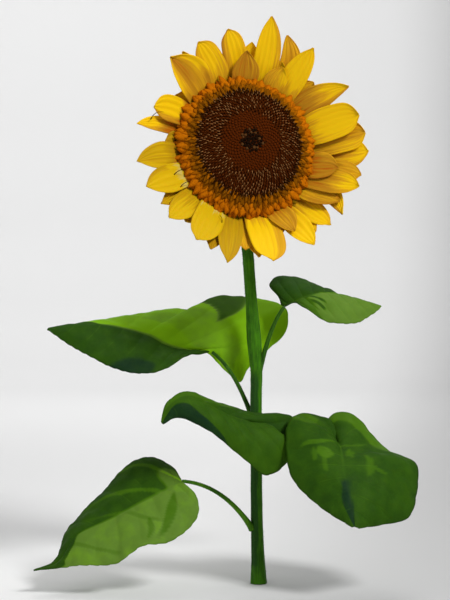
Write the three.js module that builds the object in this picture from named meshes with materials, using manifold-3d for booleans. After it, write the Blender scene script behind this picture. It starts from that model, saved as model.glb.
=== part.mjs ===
// A sunflower plant in one flower: a leaning stem cut flat at ground level, five stalked
// leaves, and one flower head that looks forward. Millimetres, +Z up, -Y is the front, and
// the origin is the centre of the stem's flat foot.
import * as THREE from 'three';
import { mergeVertices } from 'three/addons/utils/BufferGeometryUtils.js';
import Module from 'manifold-3d';

const wasm = await Module();
wasm.setup();

// ---------------------------------------------------------------- driving dimensions

const CLEAR = 0.3; // gap that keeps two neighbouring pieces apart

const STEM_RADIUS = 6.2;
const FOOT_FLARE = 2.9; // added to the stem's radius at the ground
const FLARE_FADE = 28; // height over which the flare dies away
const NODE_SWELL = { height: 268, reach: 26, extra: 1.5 }; // where the upper leaf's stalk leaves
const NECK_RADIUS = 9; // where the stem enters the head

const HEAD_CENTRE = [-14.5, -52, 473.5]; // middle of the plane on which the florets stand
const HEAD_TURN = 14; // degrees, turned to the viewer's right
const HEAD_NOD = 13; // degrees, looking up
const OVAL = 1.04; // the head is a little taller than wide

const RIM_RADIUS = 66; // outer edge of the green receptacle
const RIM_DEPTH = 17; // straight part of that edge, where the petals root
const BACK_DEPTH = 33; // from the florets' plane back to the stem
const BRACT_THICKNESS = 1.6;
const BRACT_ROWS = [ // root and reach are each a radius and a depth
  { count: 12, start: 6, root: [54, -21], reach: [91, -14], half: 11 },
  { count: 12, start: 21, root: [46, -24], reach: [84, -30], half: 10 },
];

const DISC_RADIUS = 56;
const SHOULDER = 14; // height of the disc's edge above the receptacle
const CROWN = 12; // further rise to the disc's middle
const RING_OUTER = 72; // outer edge of the ring of open florets
const TEETH = 32; // round that edge
const TOOTH_DEPTH = 4;

const PETAL_ROOT = RIM_RADIUS + 0.7; // every petal starts just outside the receptacle's edge
const PETAL_THICKNESS = 0.8;
const FRONT_ROW = -6.5; // depth of row 0 at the root; rows lie behind one another
const ROW_STEP = 2.7;
const ROW_SLOPE = 36; // degrees; row 0's petals rise from the head's plane by this much
const SLOPE_STEP = 1.4; // and each row behind spreads flatter

const BLADE_THICKNESS_SHARE = 0.011; // of the blade's greatest length
const ACROSS = 6; // panels from edge to edge of a blade
const ALONG = 22; // panels from the notch at the stalk to the tip
const RIB_PACE = 1.45; // above 1 these panels fan out round the lobes

// Bearings run clockwise from the top as the viewer sees them, in degrees; reach is the tip's
// distance from the head's axis and half the half-width. Row -1 is the front row.
const PETALS = [
  [16, 132.5, 14.2, 1, { bend: -10, blunt: 2.8 }],
  [35, 126, 12, 2, { bend: -18, hook: -10 }],
  [38, 122, 13.8, 0, { bend: -4, blunt: 2.8 }],
  [53, 123.5, 13.5, 1, { bend: 19, blunt: 2.2 }],
  [74, 121, 16.5, 0, { bend: 6, blunt: 4 }],
  [85, 126, 14, 2, { blunt: 5 }],
  [94, 129, 15.5, 3, { blunt: 4 }],
  [107, 122, 12, 1],
  [113, 122, 13.5, 0, { bend: 2, blunt: 3 }],
  [116, 122, 11.5, 2, { bend: 20, hook: 8 }],
  [135, 119, 13.5, 3, { bend: 3, blunt: 3 }],
  [152, 125, 14, 1, { blunt: 3 }],
  [172, 129, 18.5, 0, { bend: 8, blunt: 5 }],
  [178, 122, 14, 2, { bend: 4 }],
  [195, 136, 13.5, 1, { bend: 3 }],
  [204, 126, 12, 2],
  [212, 128, 16.5, 0, { blunt: 4 }],
  [228, 127, 14, 1, { blunt: 3 }],
  [235, 121, 12, 2, { bend: 1, blunt: 1.9 }],
  [247, 130, 14.5, 0, { bend: -6, blunt: 3 }],
  [263, 127, 15, 1, { bend: -13, blunt: 2 }],
  [286, 120, 8.5, 2, { bend: -20 }],
  [298, 106, 13.5, 0, { bend: -19, blunt: 5 }],
  [321, 118, 19.5, 0, { bend: -14, cup: 0.26 }],
  [327, 116, 8.5, 2, { bend: -6.5 }],
  [341, 115, 12.8, 1, { bend: -15.5, blunt: 5 }],
  [358, 120, 12.2, 2, { bend: -14.5, blunt: 4 }],
  [5, 111, 14, 3],
  [1, 98, 15, -1, { blunt: 1.8 }],
  [27, 93, 12, -1],
  [105, 98, 15, -1],
  [157, 103, 13.5, -1, { blunt: 2 }],
  [48, 103, 16, 3],
  [163, 99, 17, 3],
  [124, 112, 12, 1],
  [221, 111, 17, 3],
  [270, 90, 16, 3],
  [305, 86, 16, 3],
  [345, 98, 13, 3],
];

// Each leaf: the stalk's curve and its radii at stem and blade, then the curves of the midrib
// and of the two edges as seen from above looking to the tip. Puff lifts the blade between
// midrib and edge by a share of that width, on the right and on the left.
const LEAVES = [
  {
    name: 'upper_left', // reaches left, its far lobe passing behind the stem
    stalk: [[-7, 6, 182], [-16, 14, 205], [-28, 22, 236], [-51, 26, 253]],
    stalkRadius: [3.2, 1.9],
    rib: [[-51, 26, 253], [-96, 15, 259], [-125, 0, 274], [-181, -20, 286], [-231, -35, 281]],
    right: [[-48, 29, 251], [-21, 28, 219], [32, 38, 267], [31, 50, 303], [-40, 66, 316], [-98, 54, 302],
      [-180, 4, 287], [-231, -35, 281]],
    left: [[-55, 22, 253], [-78, 0, 249], [-113, -24, 233], [-139, -32, 233], [-182, -36, 250],
      [-231, -35, 281]],
    puff: [0.06, 0.1],
  },
  {
    name: 'upper_right', // small, on a steep stalk
    stalk: [[3, -2, 232], [8, -2, 262], [14, 0, 285], [28, 0, 304]],
    stalkRadius: [3.6, 1.8],
    rib: [[28, 0, 304], [44, -2, 312], [65, 0, 319], [99, 8, 315], [138, 16, 305]],
    right: [[31, -4, 306], [42, -12, 309], [53, -20, 300], [72, -24, 289], [99, -18, 285], [125, 2, 295],
      [138, 16, 305]],
    left: [[26, 4, 305], [21, 14, 317], [13, 22, 328], [24, 30, 339], [53, 34, 333], [92, 28, 315],
      [138, 16, 305]],
    puff: [0.1, 0.08],
  },
  {
    name: 'middle', // crosses in front of the stem
    stalk: [[0, -6, 158], [2, -20, 170], [4, -30, 176], [3, -45, 179]],
    stalkRadius: [3, 2],
    rib: [[3, -45, 179], [-26, -58, 187], [-58, -74, 203], [-84, -84, 207], [-104, -90, 181]],
    right: [[7, -41, 177], [34, -33, 154], [36, -24, 183], [3, -21, 188], [-32, -36, 196], [-76, -70, 215],
      [-98, -86, 204], [-104, -90, 181]],
    left: [[2, -49, 175], [31, -50, 162], [31, -53, 142], [7, -60, 126], [-25, -72, 152], [-58, -80, 177],
      [-86, -85, 189], [-104, -90, 181]],
    puff: [0.05, 0.12],
  },
  {
    name: 'lower_right', // broad, hangs forward
    stalk: [[0, -1, 148], [30, -10, 160], [50, -20, 165], [81, -40, 161]],
    stalkRadius: [3.4, 2],
    rib: [[81, -40, 161], [85, -62, 155], [86, -90, 135], [91, -110, 107], [95, -122, 79]],
    right: [[80, -38, 164], [78, -29, 181], [62, -25, 187], [46, -27, 188], [33, -44, 179], [31, -62, 147],
      [35, -77, 124], [60, -100, 99], [95, -122, 79]],
    left: [[83, -35, 164], [76, -17, 182], [88, -12, 188], [104, -13, 185], [144, -22, 145], [168, -36, 135], [164, -64, 100],
      [152, -80, 83], [127, -97, 80], [95, -122, 79]],
    puff: [0.08, 0.08],
  },
  {
    name: 'lower_left', // hangs down to the left, almost to the ground
    stalk: [[-7, -2, 60], [-25, -14, 90], [-50, -24, 113], [-83, -30, 116]],
    stalkRadius: [3.6, 2],
    rib: [[-83, -30, 116], [-127, -44, 95], [-158, -50, 79], [-195, -56, 61], [-213, -62, 35],
      [-242, -66, 26]],
    right: [[-85, -27, 118], [-95, -10, 130], [-120, 4, 138], [-148, 6, 126], [-177, -10, 94],
      [-208, -32, 63], [-216, -54, 36], [-242, -66, 26]],
    left: [[-81, -33, 114], [-68, -42, 102], [-66, -54, 81], [-95, -72, 58], [-125, -78, 53],
      [-153, -80, 36], [-193, -76, 33], [-242, -66, 26]],
    puff: [0.08, 0.08],
  },
];

// ---------------------------------------------------------------- helpers

const degrees = THREE.MathUtils.degToRad;
const point = ([x, y, z]) => new THREE.Vector3(x, y, z);
const mix = THREE.MathUtils.lerp;

// Moves every vertex of a geometry by a rule and returns it closed, its faces pointing out.
function shaped(geometry, rule) {
  geometry.deleteAttribute('normal');
  geometry.deleteAttribute('uv');
  const place = geometry.getAttribute('position');
  const p = new THREE.Vector3();
  for (let i = 0; i < place.count; i++) {
    rule(p.fromBufferAttribute(place, i));
    place.setXYZ(i, p.x, p.y, p.z);
  }
  const closed = mergeVertices(geometry, 1e-4);
  if (signedVolume(closed) < 0) closed.index.array.reverse();
  closed.computeVertexNormals();
  return closed;
}

function signedVolume(geometry) {
  const place = geometry.getAttribute('position');
  const [a, b, c] = [new THREE.Vector3(), new THREE.Vector3(), new THREE.Vector3()];
  let sum = 0;
  for (let i = 0; i < geometry.index.count; i += 3) {
    a.fromBufferAttribute(place, geometry.index.getX(i));
    b.fromBufferAttribute(place, geometry.index.getX(i + 1));
    c.fromBufferAttribute(place, geometry.index.getX(i + 2));
    sum += a.dot(b.cross(c));
  }
  return sum / 6;
}

const toSolid = (geometry) => new wasm.Manifold(new wasm.Mesh({
  numProp: 3,
  vertProperties: geometry.getAttribute('position').array,
  triVerts: new Uint32Array(geometry.index.array),
}));

function fromSolid(solid) {
  const { vertProperties, triVerts } = solid.getMesh();
  const geometry = new THREE.BufferGeometry()
    .setAttribute('position', new THREE.BufferAttribute(vertProperties, 3))
    .setIndex(new THREE.BufferAttribute(triVerts, 1));
  geometry.computeVertexNormals();
  return geometry;
}

// The curve's point, side and upper normal at t. The side stays near a given one.
function frameOn(curve, t, side) {
  const along = curve.getTangent(THREE.MathUtils.clamp(t, 0, 1));
  const at = curve.getPoint(THREE.MathUtils.clamp(t, 0, 1));
  const across = side.clone().addScaledVector(along, -side.dot(along)).normalize();
  return { at, across, up: across.clone().cross(along) };
}

// A limb is a closed cylinder laid along a curve, with its own radius at each t.
function limb(curve, radiusAt, side, sides, steps) {
  return shaped(new THREE.CylinderGeometry(1, 1, 1, sides, steps), (p) => {
    const t = p.y + 0.5;
    const { at, across, up } = frameOn(curve, t, side);
    const r = radiusAt(t);
    p.copy(at.addScaledVector(across, p.x * r).addScaledVector(up, p.z * r));
  });
}

const group = new THREE.Group();

function add(parent, name, geometry, material) {
  const mesh = new THREE.Mesh(geometry, material);
  mesh.name = name;
  parent.add(mesh);
}

const finish = (color, roughness) => new THREE.MeshStandardMaterial({ color, roughness, metalness: 0 });
const stemGreen = finish('#3d6b1c', 0.6);
const leafGreen = finish('#3f7a1a', 0.55);
const petalYellow = finish('#eec000', 0.5);
const floretOrange = finish('#b06200', 0.7);
const discBrown = finish('#451f05', 0.85);

// ---------------------------------------------------------------- head

const head = new THREE.Group();
head.position.set(...HEAD_CENTRE);
head.rotation.set(Math.PI / 2 - degrees(HEAD_NOD), 0, degrees(HEAD_TURN), 'ZXY'); // +Z looks forward, +Y is up
head.updateMatrixWorld(true);
group.add(head);

// A piece of the head: a lathed or drawn-out shape made slightly oval.
const ovalShaped = (geometry, rule) => shaped(geometry, (p) => {
  rule(p);
  p.y *= OVAL;
});

// A lathed piece, its axis turned forward.
const lathed = (profile, sides) => ovalShaped(
  new THREE.LatheGeometry(profile.map(([r, z]) => new THREE.Vector2(r, z)), sides),
  (p) => p.set(p.x, -p.z, p.y),
);

// The receptacle is a shallow green dish, its back rounded down to the stem.
const receptacleBody = lathed([
  [0, 0], [RIM_RADIUS - 1.5, 0], [RIM_RADIUS, -1.5], [RIM_RADIUS, -RIM_DEPTH], [60, -21], [44, -27],
  [24, -31], [NECK_RADIUS + 2, -BACK_DEPTH], [0, -BACK_DEPTH],
], 32);

// A bract is a pointed green scale that springs from the receptacle's back edge.
function bract(bearing, { root, reach, half }) {
  const a = degrees(bearing);
  return ovalShaped(new THREE.BoxGeometry(2, 1, 1, 2, 1, 2), (p) => {
    const t = p.z + 0.5;
    const width = half * (1 - 0.93 * t ** 2);
    const r = mix(root[0], reach[0], t);
    const z = mix(root[1], reach[1], t ** 1.5) + p.y * BRACT_THICKNESS - 2 * Math.abs(p.x) * (1 - t);
    p.set(r * Math.sin(a) + p.x * width * Math.cos(a), r * Math.cos(a) - p.x * width * Math.sin(a), z);
  });
}

const bracts = BRACT_ROWS.flatMap((row) => Array.from({ length: row.count },
  (_, i) => bract(row.start + (360 / row.count) * i, row)));
const receptacle = fromSolid(wasm.Manifold.union([receptacleBody, ...bracts].map(toSolid)));
add(head, 'receptacle', receptacle, stemGreen);

// The seed disc is a cushion on the receptacle.
const disc = lathed([
  [0, CLEAR], [DISC_RADIUS, CLEAR], [DISC_RADIUS, SHOULDER / 2],
  ...[DISC_RADIUS, 50, 42, 33, 23, 12, 5, 0].map((r) => [r, SHOULDER + CROWN * (1 - (r / DISC_RADIUS) ** 2)]),
], 32);
add(head, 'disc', disc, discBrown);

// Open florets clothe the slope round the disc. Their ring ends in teeth over the petals' roots.
const ringInner = DISC_RADIUS + 0.4;
const ringSection = [
  [ringInner, CLEAR], [ringInner, SHOULDER], [61, 11], [66, 7.6], [RING_OUTER, 4.8], [RING_OUTER, 3.6],
  [64, CLEAR], [ringInner, CLEAR],
].map(([r, z]) => new THREE.Vector2(r, z));
const floretRing = ovalShaped(new THREE.LatheGeometry(ringSection, TEETH * 2), (p) => {
  const turn = Math.atan2(p.x, p.z);
  const out = THREE.MathUtils.smoothstep(Math.hypot(p.x, p.z), 64, RING_OUTER);
  const tooth = out * (0.5 * TOOTH_DEPTH * Math.cos(turn * TEETH) + 1.2 * Math.sin(turn * 5));
  const r = Math.hypot(p.x, p.z) + tooth;
  p.set(r * Math.sin(turn), r * Math.cos(turn), p.y);
});
add(head, 'floret_ring', floretRing, floretOrange);

// A petal is a thin strip along a rising mid-line: widest before the middle, then drawn to a
// point, its edges raised and its tip bent to one side.
function petal([bearing, reach, half, row, { bend = 0, hook = 0, cup = 0.08, blunt = 2.6 } = {}]) {
  const a = degrees(bearing);
  const outward = new THREE.Vector3(Math.sin(a), Math.cos(a), 0);
  const across = new THREE.Vector3(Math.cos(a), -Math.sin(a), 0);
  const depth = FRONT_ROW - ROW_STEP * row;
  const lift = (reach - PETAL_ROOT) * Math.tan(degrees(ROW_SLOPE - SLOPE_STEP * row));
  const middle = new THREE.QuadraticBezierCurve3(
    outward.clone().multiplyScalar(PETAL_ROOT).setZ(depth),
    outward.clone().multiplyScalar(mix(PETAL_ROOT, reach, 0.5)).setZ(depth + 0.5 * lift),
    outward.clone().multiplyScalar(reach).addScaledVector(across, bend).setZ(depth + lift),
  );
  return ovalShaped(new THREE.BoxGeometry(2, 1, 1, 4, 1, 5), (p) => {
    const t = 1 - (0.5 - p.z) ** 1.35; // the panels crowd towards the tip
    const width = half * (t < 0.4 ? mix(0.62, 1, Math.sin(Math.PI * t / 0.8)) : 1 - 0.95 * ((t - 0.4) / 0.6) ** blunt);
    const { at, across: aside, up } = frameOn(middle, t, across);
    if (up.z < 0) up.negate();
    const rise = cup * half * p.x * p.x * Math.sin(Math.PI * 0.8 * t);
    const turned = hook * Math.max(0, 2 * t - 1) ** 2; // the tip alone turns aside
    p.copy(at.addScaledVector(aside, p.x * width + turned).addScaledVector(up, rise + p.y * PETAL_THICKNESS));
  });
}

PETALS.forEach((row, i) => add(head, `petal_${String(i + 1).padStart(2, '0')}`, petal(row), petalYellow));

// ---------------------------------------------------------------- stem

// Centre line, from below the foot up to the neck and forward into the head.
const neckEnd = head.localToWorld(new THREE.Vector3(0, 0, -BACK_DEPTH - CLEAR));
const neckBend = head.localToWorld(new THREE.Vector3(0, 0, -BACK_DEPTH - 16));
const stemCurve = new THREE.CatmullRomCurve3([
  [0.3, 0, -10], [0, 0, 0], [-2, 0, 70], [-2.6, 0, 130], [-2.8, 0, 200], [-2.4, 0, 232], [-4.6, 0, 262],
  [-6.6, 0, 290], [-9.8, 1, 333], [-12.2, 3, 366], [-17, 7, 412], [-22, 8, 440],
].map(point).concat([neckBend, neckEnd]), false, 'catmullrom', 0.5);

function stemRadius(t) {
  const z = stemCurve.getPoint(t).z;
  const swell = NODE_SWELL.extra * Math.exp(-(((z - NODE_SWELL.height) / NODE_SWELL.reach) ** 2));
  const neck = (NECK_RADIUS - STEM_RADIUS) * THREE.MathUtils.smoothstep(t, 0.8, 1);
  return STEM_RADIUS + FOOT_FLARE * Math.exp(-z / FLARE_FADE) + swell + neck;
}

const stemLimb = (extra) => limb(stemCurve, (t) => stemRadius(t) + extra, new THREE.Vector3(1, 0, 0), 12, 36);
const stem = toSolid(stemLimb(0)).trimByPlane([0, 0, 1], 0); // cut flat at ground level
add(group, 'stem', fromSolid(stem), stemGreen);

// ---------------------------------------------------------------- leaves

// A blade is a thin box drawn out between three curves: the midrib and the two edges, each of
// which starts in the notch at the stalk, goes round its lobe and ends at the tip.
function blade({ rib, right, left, puff }) {
  const [ribCurve, rightEdge, leftEdge] = [rib, right, left].map((line) =>
    new THREE.CatmullRomCurve3(line.map(point), false, 'centripetal'));
  const room = new THREE.Box3().setFromPoints([...right, ...left].map(point)).getSize(new THREE.Vector3());
  const thickness = BLADE_THICKNESS_SHARE * room.length();
  const flat = (u, v) => {
    const edge = (u > 0 ? rightEdge : leftEdge).getPointAt(v);
    return ribCurve.getPointAt(v ** RIB_PACE).lerp(edge, Math.abs(u));
  };
  const normal = (hand, v) => {
    const ahead = flat(hand * 0.5, Math.min(1, v + 0.04)).sub(flat(hand * 0.5, Math.max(0, v - 0.04)));
    const aside = flat(hand, v).sub(flat(hand * 0.5, v)).multiplyScalar(hand);
    return aside.cross(ahead).normalize();
  };
  return shaped(new THREE.BoxGeometry(2, 1, 1, ACROSS, 1, ALONG), (p) => {
    const v = mix(0.004, 0.985, p.z + 0.5);
    const u = Math.abs(p.x) < 1e-6 ? 0 : p.x;
    const hand = Math.sign(u);
    const at = flat(u, v);
    if (hand === 0) {
      p.copy(at.addScaledVector(normal(1, v).add(normal(-1, v)).normalize(), p.y * thickness));
      return;
    }
    const width = flat(hand, v).distanceTo(ribCurve.getPointAt(v ** RIB_PACE));
    const swell = puff[hand > 0 ? 0 : 1] * 4 * Math.abs(u) * (1 - Math.abs(u)) * width;
    p.copy(at.addScaledVector(normal(hand, v), swell + p.y * thickness));
  });
}

// Each stalk starts inside the stem, is cut clear of it, and is shortened until it ends clear of
// the notch of its blade.
const stemRoom = toSolid(stemLimb(CLEAR + 0.05));
for (const leaf of LEAVES) {
  const curve = new THREE.CubicBezierCurve3(...leaf.stalk.map(point));
  const heading = point(leaf.stalk[3]).sub(point(leaf.stalk[0])).setZ(0).normalize();
  const side = heading.cross(new THREE.Vector3(0, 0, 1));
  const [thick, thin] = leaf.stalkRadius;
  const leafBlade = blade(leaf);
  const bladeSolid = toSolid(leafBlade);
  let end = 1;
  let stalk;
  do {
    const part = new THREE.CatmullRomCurve3(Array.from({ length: 9 }, (_, i) => curve.getPoint((end * i) / 8)));
    stalk = toSolid(limb(part, (t) => mix(thick, thin, Math.sqrt(t)), side, 8, 10)).subtract(stemRoom);
    end -= 0.004;
  } while (stalk.minGap(bladeSolid, 1) < CLEAR + 0.02);
  add(group, 'stalk_' + leaf.name, fromSolid(stalk), stemGreen);
  add(group, 'leaf_' + leaf.name, leafBlade, leafGreen);
}

export default group;
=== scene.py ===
# A sunflower plant in one flower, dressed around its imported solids: stem, five stalked leaves,
# and a head of green bracts, yellow petals and a domed disc of small florets. Metres, +Z up,
# the flower facing -Y, the origin in the middle of the stem's flat foot.
import math
import random

import bmesh
import bpy
import numpy as np
from mathutils import Matrix, Vector, noise


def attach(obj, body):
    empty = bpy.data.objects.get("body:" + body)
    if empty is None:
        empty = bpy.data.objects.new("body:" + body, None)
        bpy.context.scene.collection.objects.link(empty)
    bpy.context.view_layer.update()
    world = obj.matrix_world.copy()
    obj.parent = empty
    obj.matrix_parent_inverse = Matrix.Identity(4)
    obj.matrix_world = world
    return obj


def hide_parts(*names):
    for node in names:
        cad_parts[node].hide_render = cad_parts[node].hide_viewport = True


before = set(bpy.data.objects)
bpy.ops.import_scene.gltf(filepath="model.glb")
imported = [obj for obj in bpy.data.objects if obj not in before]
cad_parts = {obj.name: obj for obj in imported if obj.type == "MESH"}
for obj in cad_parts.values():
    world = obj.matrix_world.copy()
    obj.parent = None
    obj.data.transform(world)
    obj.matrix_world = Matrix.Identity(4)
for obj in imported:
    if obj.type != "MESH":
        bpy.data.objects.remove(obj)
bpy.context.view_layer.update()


# ---- Stem ------------
# The stem is one green shoot, ribbed along its length and rough with short stiff hairs. It
# stands on a flat cut at ground level, swells where leaves leave it, and bends forward at the
# top, where it thickens into the head.

def curve_point(points, t, power):
    """The point at t, from 0 to 1, on a smooth line through the points (Catmull-Rom)."""
    last = len(points) - 1
    i = min(int(t * last), last - 1)
    w = t * last - i
    p1, p2 = points[i], points[i + 1]
    p0 = points[i - 1] if i else 2 * p1 - p2
    p3 = points[i + 2] if i + 2 <= last else 2 * p2 - p1
    d0, d1, d2 = ((b - a).length_squared ** power for a, b in ((p0, p1), (p1, p2), (p2, p3)))
    m1 = ((p1 - p0) / d0 - (p2 - p0) / (d0 + d1) + (p2 - p1) / d1) * d1
    m2 = ((p2 - p1) / d1 - (p3 - p1) / (d1 + d2) + (p3 - p2) / d2) * d1
    return p1 + m1 * w + (3 * (p2 - p1) - 2 * m1 - m2) * w ** 2 + (2 * (p1 - p2) + m1 + m2) * w ** 3


def smoothstep(low, high, x):
    t = min(1, max(0, (x - low) / (high - low)))
    return t * t * (3 - 2 * t)


def mix(a, b, t):
    return a + (b - a) * t


def limb(line, radius_at, side, sides, steps):
    """A closed tube along line(t), as a bmesh with a UV map: round the limb and along it."""
    bm = bmesh.new()
    bm.loops.layers.uv.new("along")
    bmesh.ops.create_grid(bm, x_segments=sides, y_segments=steps, size=0.5, calc_uvs=True)
    frames = {}
    for vert in bm.verts:
        turn, t = math.tau * (vert.co.x + 0.5), round(vert.co.y + 0.5, 6)
        if t not in frames:
            ahead = line(min(1, t + 0.002)) - line(max(0, t - 0.002))
            across = (side - ahead * side.dot(ahead) / ahead.length_squared).normalized()
            frames[t] = line(t), across, across.cross(ahead).normalized()
        at, across, up = frames[t]
        r = radius_at(t, turn)
        vert.co = at + across * (r * math.cos(turn)) + up * (r * math.sin(turn))
    bmesh.ops.remove_doubles(bm, verts=bm.verts, dist=1e-6)
    bmesh.ops.holes_fill(bm, edges=bm.edges, sides=0)
    bmesh.ops.recalc_face_normals(bm, faces=bm.faces)
    return bm


def placed(name, data):
    """An object in the scene that holds this mesh, lamp or camera."""
    made = bpy.data.objects.new(name, data)
    bpy.context.scene.collection.objects.link(made)
    return made


def shown(name, bm, materials):
    """A smooth object made of a bmesh, in these materials."""
    mesh = bpy.data.meshes.new(name)
    bm.to_mesh(mesh)
    bm.free()
    for material in materials:
        mesh.materials.append(material)
    mesh.shade_smooth()
    return placed(name, mesh)


def new_piece(name, bm, materials, replaces=()):
    """A piece of the plant, which stands for the CAD nodes in replaces."""
    piece = shown(name, bm, materials)
    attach(piece, "root")
    if replaces:
        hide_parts(*replaces)
    return piece


def linear(colour, opacity=1):
    """An sRGB hex colour as linear red, green, blue and alpha."""
    parts = [int(colour[i:i + 2], 16) / 255 for i in (1, 3, 5)]
    return *(c / 12.92 if c <= 0.04045 else ((c + 0.055) / 1.055) ** 2.4 for c in parts), opacity


def new_material(name, **sockets):
    """A material, its node tree and its shader, whose sockets are named with _ for a space."""
    material = bpy.data.materials.new(name)
    material.use_nodes = True
    shader = material.node_tree.nodes["Principled BSDF"]
    for socket, value in sockets.items():
        shader.inputs[socket.replace("_", " ")].default_value = value
    return material, material.node_tree, shader


def add(tree, kind, inputs=(), stops=(), out=0, **settings):
    """Adds a node and returns its output out. Inputs gives its sockets values or other nodes'
    outputs, and stops gives a ramp's colours."""
    made = tree.nodes.new("ShaderNode" + kind)
    for setting, value in settings.items():
        setattr(made, setting, value)
    for i, (at, colour) in enumerate(stops):
        stop = made.color_ramp.elements[i] if i < 2 else made.color_ramp.elements.new(at)
        stop.position, stop.color = at, colour
    for socket, value in dict(inputs).items():
        if isinstance(value, bpy.types.NodeSocket):
            tree.links.new(value, made.inputs[socket])
        else:
            made.inputs[socket].default_value = value
    return made.outputs[out]


def connect(tree, shader, **outputs):
    for socket, output in outputs.items():
        tree.links.new(output, shader.inputs[socket.replace("_", " ")])


def stem_material(name, light, dark, sheen):
    """Green stem skin, grown: satin, with fine fibres along it and a bloom of tiny hairs, darkened by a
    painted shade where a piece carries the shade attribute.
    """
    material, tree, shader = new_material(
        name, IOR=1.42, Specular_IOR_Level=0.1, Sheen_Weight=sheen, Sheen_Roughness=0.4,
        Subsurface_Weight=0.05, Subsurface_Scale=0.002)
    place = add(tree, "TexCoord", out="Object")
    # Fibres about 1.4 mm wide and ten times as long, and clouds 22 mm across.
    stretched = add(tree, "Mapping", {"Vector": place, "Scale": (1, 1, 0.1)})
    fibres = add(tree, "TexNoise", {"Vector": stretched, "Scale": 700, "Detail": 3}, out="Fac")
    clouds = add(tree, "TexNoise", {"Vector": place, "Scale": 45, "Detail": 2}, out="Fac")
    both = add(tree, "Math", {0: fibres, 1: clouds}, operation="ADD")
    colour = add(tree, "MapRange", {0: both, 1: 0.75, 2: 1.25})
    tint = add(tree, "Mix", {0: colour, 6: linear(dark), 7: linear(light)}, data_type="RGBA", out=2)
    # Painted shade: the shade attribute turns the colour to a darker green.
    shade = add(tree, "Attribute", attribute_name="shade", out="Fac")
    tint = add(tree, "Mix", {0: shade, 6: tint, 7: linear("#234815")}, data_type="RGBA", out=2)
    # Hair roots stand as pimples 1.2 mm apart.
    roots = add(tree, "TexVoronoi", {"Vector": place, "Scale": 800}, out="Distance")
    height = add(tree, "Math", {0: roots, 1: -0.5, 2: fibres}, operation="MULTIPLY_ADD")
    bump = add(tree, "Bump", {"Height": height, "Strength": 0.35, "Distance": 0.0004})
    rough = add(tree, "MapRange", {0: fibres, 3: 0.45, 4: 0.62})
    connect(tree, shader, Base_Color=tint, Normal=bump, Roughness=rough)
    return material


stem_skin = stem_material("stem skin, green and hairy", "#41780e", "#2a560c", 0.0)

# The head's own frame: +Z looks out of the flower, +Y is up. It is a little taller than wide.
head_centre = Vector((-0.0145, -0.052, 0.4735))
head_turn, head_nod = math.radians(14), math.radians(13)
head_oval = 1.04
head_frame = (Matrix.Translation(head_centre) @ Matrix.Rotation(head_turn, 4, "Z")
              @ Matrix.Rotation(math.pi / 2 - head_nod, 4, "X"))
back_depth = 0.033

stem_points = [Vector(p) for p in (
    (0.0003, 0, -0.010), (0, 0, 0), (-0.002, 0, 0.070), (-0.0026, 0, 0.130), (-0.0028, 0, 0.200),
    (-0.0024, 0, 0.232), (-0.0046, 0, 0.262), (-0.0066, 0, 0.290), (-0.0098, 0.001, 0.333),
    (-0.0122, 0.003, 0.366), (-0.017, 0.007, 0.412), (-0.022, 0.008, 0.440),
)] + [head_frame @ Vector((0, 0, -depth)) for depth in (back_depth + 0.016, back_depth - 0.002)]
foot_share = 1 / (len(stem_points) - 1)
stem_radius, foot_flare, flare_fade = 0.0062, 0.0029, 0.028
node_height, node_reach, node_swell = 0.268, 0.026, 0.0015
neck_radius = 0.009
rib_count, rib_height, skin_unevenness = 9, 0.04, 0.03


def stem_line(t):
    """Along the stem, from 1 mm under its cut foot to the head."""
    return curve_point(stem_points, mix(0.9 * foot_share, 1, t), 0)


def plain_stem_radius(t):
    z = stem_line(t).z
    swell = node_swell * math.exp(-((z - node_height) / node_reach) ** 2)
    neck = (neck_radius - stem_radius) * smoothstep(0.8, 1, mix(foot_share, 1, t))
    return stem_radius + foot_flare * math.exp(-z / flare_fade) + swell + neck


def ribbed_stem_radius(t, turn):
    rib = math.cos(rib_count * turn + 1.5 * math.sin(5 * t))
    uneven = noise.noise(Vector((math.cos(turn), math.sin(turn), 40 * t)))
    return plain_stem_radius(t) * (1 + rib_height * rib + skin_unevenness * uneven)


hair_radius = 0.00016


def hairs(line, radius_at, side, count, length, seed):
    """Short stiff hairs on a limb, each a cone of three sides leaning up the limb."""
    one = bmesh.new()
    bmesh.ops.create_cone(one, cap_ends=True, segments=3, radius1=hair_radius, radius2=0, depth=1)
    bmesh.ops.translate(one, verts=one.verts, vec=(0, 0, 0.5))
    dice = random.Random(seed)
    places = []
    for _ in range(count):
        t, turn = dice.uniform(0.01, 0.97), dice.uniform(0, math.tau)
        ahead = line(t + 0.01) - line(t - 0.01 if t > 0.01 else t)
        across = (side - ahead * side.dot(ahead) / ahead.length_squared).normalized()
        up = across.cross(ahead).normalized()
        out = across * math.cos(turn) + up * math.sin(turn)
        lean = (out + ahead.normalized() * dice.uniform(0.1, 0.8)).normalized()
        root = line(t) + out * radius_at(t, turn) * 0.97
        turned = lean.to_track_quat("Z", "Y").to_matrix().to_4x4()
        places.append(Matrix.Translation(root) @ turned
                      @ Matrix.Diagonal((1, 1, length * dice.uniform(0.6, 1.2), 1)))
    return scattered(one, places)


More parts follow.
